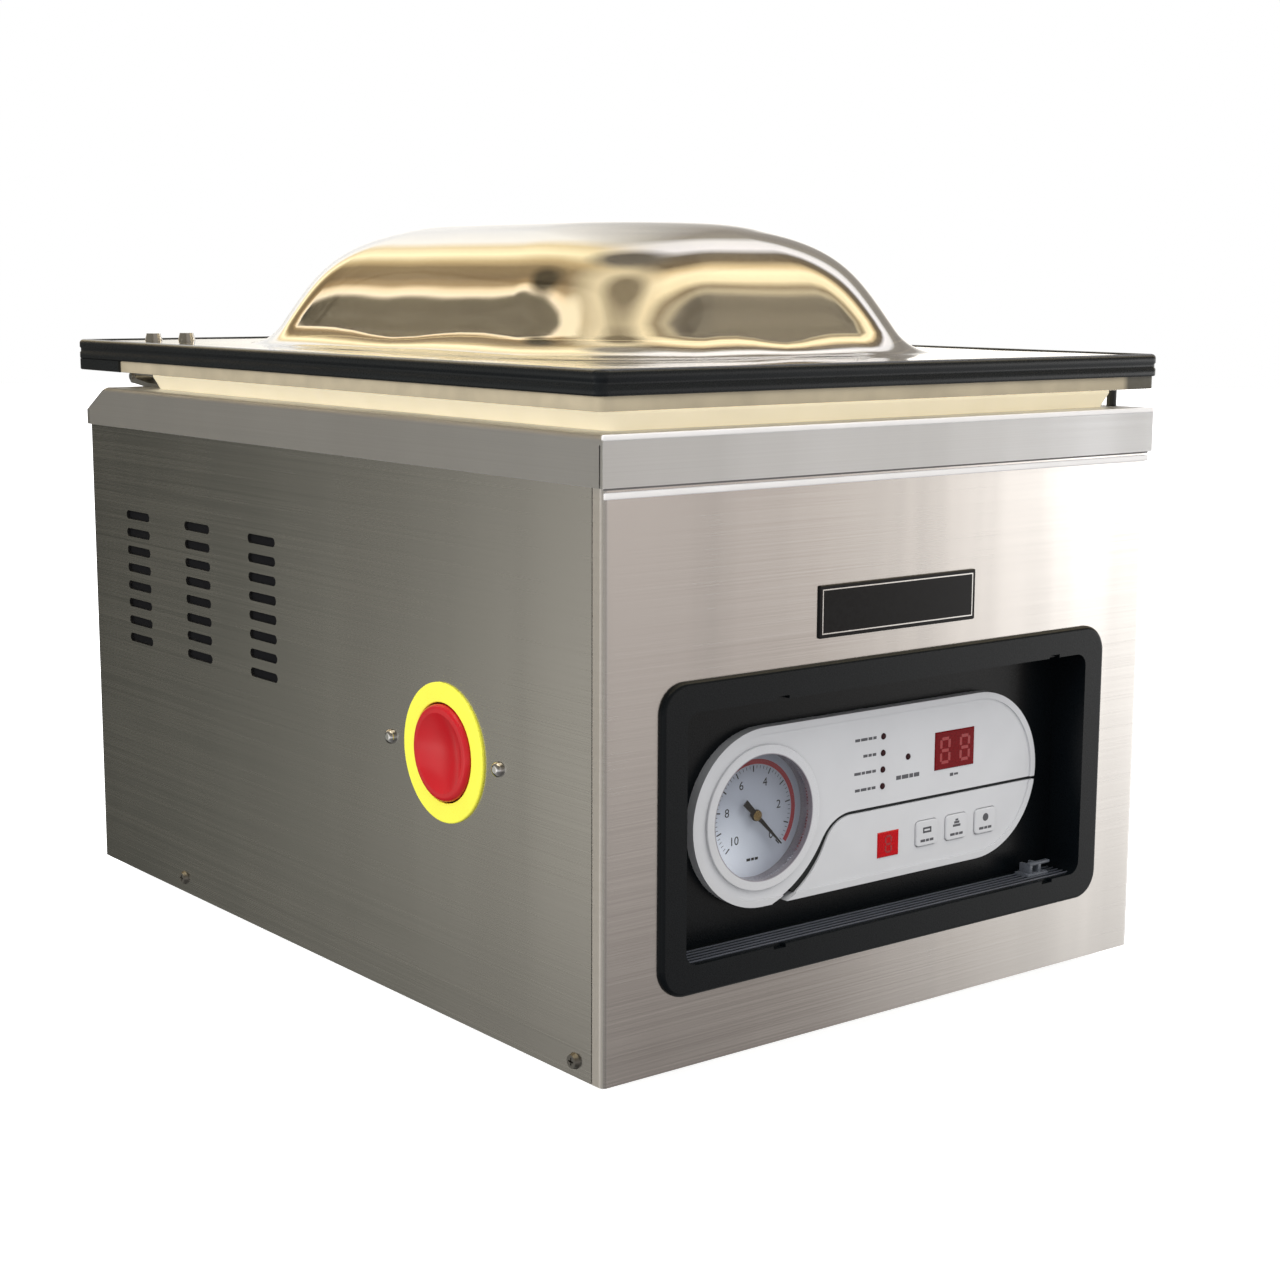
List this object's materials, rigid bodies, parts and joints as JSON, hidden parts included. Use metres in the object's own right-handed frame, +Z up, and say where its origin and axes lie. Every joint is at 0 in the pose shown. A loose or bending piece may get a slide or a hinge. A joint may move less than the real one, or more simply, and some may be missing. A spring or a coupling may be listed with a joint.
{
  "type": "vacuum chamber sealer",
  "caption": "Tabletop vacuum chamber sealer: stainless cabinet with a clear domed lid hinged at the back, lifting seal bar, recessed control panel with gauge, and emergency stop.",
  "frame": {"origin": "on the surface the rubber feet stand on, under the middle of the cabinet", "axes": "+X to the machine's right seen from the front, +Y to its back, +Z up; the controls face -Y"},
  "size_m": [0.338, 0.4795, 0.363],
  "materials": {
    "stainless_sheet": "brushed stainless sheet",
    "polished_stainless": "polished stainless pressing",
    "bright_steel": "bright zinc or stainless",
    "chrome_plate": "chrome",
    "hinge_steel": "satin steel",
    "anodised_aluminium": "satin anodised",
    "nichrome": "bare ribbon",
    "brass_body": "machined",
    "black_rubber": "matt",
    "hose_rubber": "matt",
    "cream_silicone": "translucent satin",
    "red_silicone": "satin",
    "black_trim": "satin",
    "clear_acrylic": "clear, polished",
    "clear_lens": "clear",
    "white_polyethylene": "matt",
    "brown_phenolic": "matt",
    "ptfe_tape": "coated glass cloth",
    "black_plastic": "fine texture",
    "white_plastic": "satin",
    "grey_panel": "satin grey",
    "red_window": "tinted window",
    "circuit_board": "solder mask",
    "gauge_grey": "satin",
    "dial_white": "printed",
    "needle_black": "matt",
    "black_gloss": "gloss",
    "safety_yellow": "gloss",
    "signal_red": "gloss",
    "motor_paint": "satin",
    "pump_paint": "satin",
    "transformer_iron": "varnished"
  },
  "bodies": {
    "cabinet": {"base_pan": "stainless_sheet", "left_panel": "stainless_sheet", "right_panel": "stainless_sheet", "front_panel": "stainless_sheet", "rear_panel": "stainless_sheet", "top_cover": "stainless_sheet", "rubber_feet": "black_rubber", "pan_head_screws": "bright_steel", "chamber_tub": "polished_stainless", "chamber_gasket": "cream_silicone", "vacuum_port": "bright_steel", "seal_cylinders": "anodised_aluminium", "hinge_brackets": "hinge_steel", "hinge_pins": "bright_steel", "lid_switch": "black_plastic", "bezel": "black_plastic", "control_panel": "grey_panel", "key_panel": "grey_panel", "time_display": "red_window", "level_display": "red_window", "indicator_leds": "red_window", "control_board": "circuit_board", "gauge_case": "gauge_grey", "gauge_dial": "dial_white", "gauge_lens": "clear_lens", "nameplate": "black_gloss", "stop_ring": "safety_yellow", "stop_housing": "black_plastic", "stop_contacts": "white_plastic", "stop_screws": "chrome_plate", "pump_mounts": "black_rubber", "pump_motor": "motor_paint", "motor_cowl": "black_plastic", "pump_body": "pump_paint", "vacuum_hose": "hose_rubber", "transformer": "transformer_iron", "solenoid_valves": "brass_body", "power_board": "circuit_board", "mains_inlet": "black_plastic", "fuse_holder": "black_plastic"},
    "lid": {"lid_window": "clear_acrylic", "lid_edge_band": "black_trim", "counter_holder": "anodised_aluminium", "counter_silicone": "red_silicone", "lid_hinge_leaves": "hinge_steel", "lid_bolts": "bright_steel"},
    "seal_bar": {"seal_pistons": "bright_steel", "seal_bar": "anodised_aluminium", "seal_insulator": "brown_phenolic", "seal_heaters": "nichrome", "seal_tape": "ptfe_tape"},
    "filler_plate": {"filler_plate": "white_polyethylene"},
    "lid_switch_plunger": {"lid_switch_plunger": "white_plastic"},
    "key_left": {"key_left": "grey_panel"},
    "key_middle": {"key_middle": "grey_panel"},
    "key_right": {"key_right": "grey_panel"},
    "gauge_needle": {"gauge_needle": "needle_black"},
    "stop_stem": {"stop_stem": "black_plastic"},
    "stop_head": {"stop_head": "signal_red"},
    "motor_fan": {"motor_fan": "white_plastic"}
  },
  "joints": [
    {"name": "lid_hinge", "type": "hinge", "parent": "cabinet", "child": "lid", "pos_m": [0, 0.226, 0.281], "axis": [-1, 0, 0], "range_deg": [0, 75]},
    {"name": "seal_bar_lift", "type": "slide", "parent": "cabinet", "child": "seal_bar", "axis": [0, 0, 1], "range_m": [0, 0.0086]},
    {"name": "filler_plate_lift", "type": "slide", "parent": "cabinet", "child": "filler_plate", "axis": [0, 0, 1], "range_m": [0, 0.04]},
    {"name": "lid_switch_press", "type": "slide", "parent": "cabinet", "child": "lid_switch_plunger", "axis": [0, 0, -1], "range_m": [0, 0.002], "stiffness_N_per_m": 300},
    {"name": "gauge_needle_sweep", "type": "hinge", "parent": "cabinet", "child": "gauge_needle", "pos_m": [-0.067, -0.216, 0.1054], "axis": [0, -1, 0], "range_deg": [0, 270], "stiffness_Nm_per_rad": 0.0002},
    {"name": "stop_press", "type": "slide", "parent": "cabinet", "child": "stop_stem", "axis": [1, 0, 0], "range_m": [0, 0.005], "stiffness_N_per_m": 1500},
    {"name": "stop_twist", "type": "hinge", "parent": "stop_stem", "child": "stop_head", "pos_m": [-0.165, -0.1195, 0.1293], "axis": [1, 0, 0], "range_deg": [0, 30], "stiffness_Nm_per_rad": 0.05},
    {"name": "motor_fan_spin", "type": "hinge", "parent": "cabinet", "child": "motor_fan", "pos_m": [-0.145, 0.062, 0.096], "axis": [1, 0, 0], "continuous": true},
    {"name": "key_left_press", "type": "slide", "parent": "cabinet", "child": "key_left", "axis": [0, 1, 0], "range_m": [0, 0.001], "stiffness_N_per_m": 800},
    {"name": "key_middle_press", "type": "slide", "parent": "cabinet", "child": "key_middle", "axis": [0, 1, 0], "range_m": [0, 0.001], "stiffness_N_per_m": 800},
    {"name": "key_right_press", "type": "slide", "parent": "cabinet", "child": "key_right", "axis": [0, 1, 0], "range_m": [0, 0.001], "stiffness_N_per_m": 800}
  ]
}
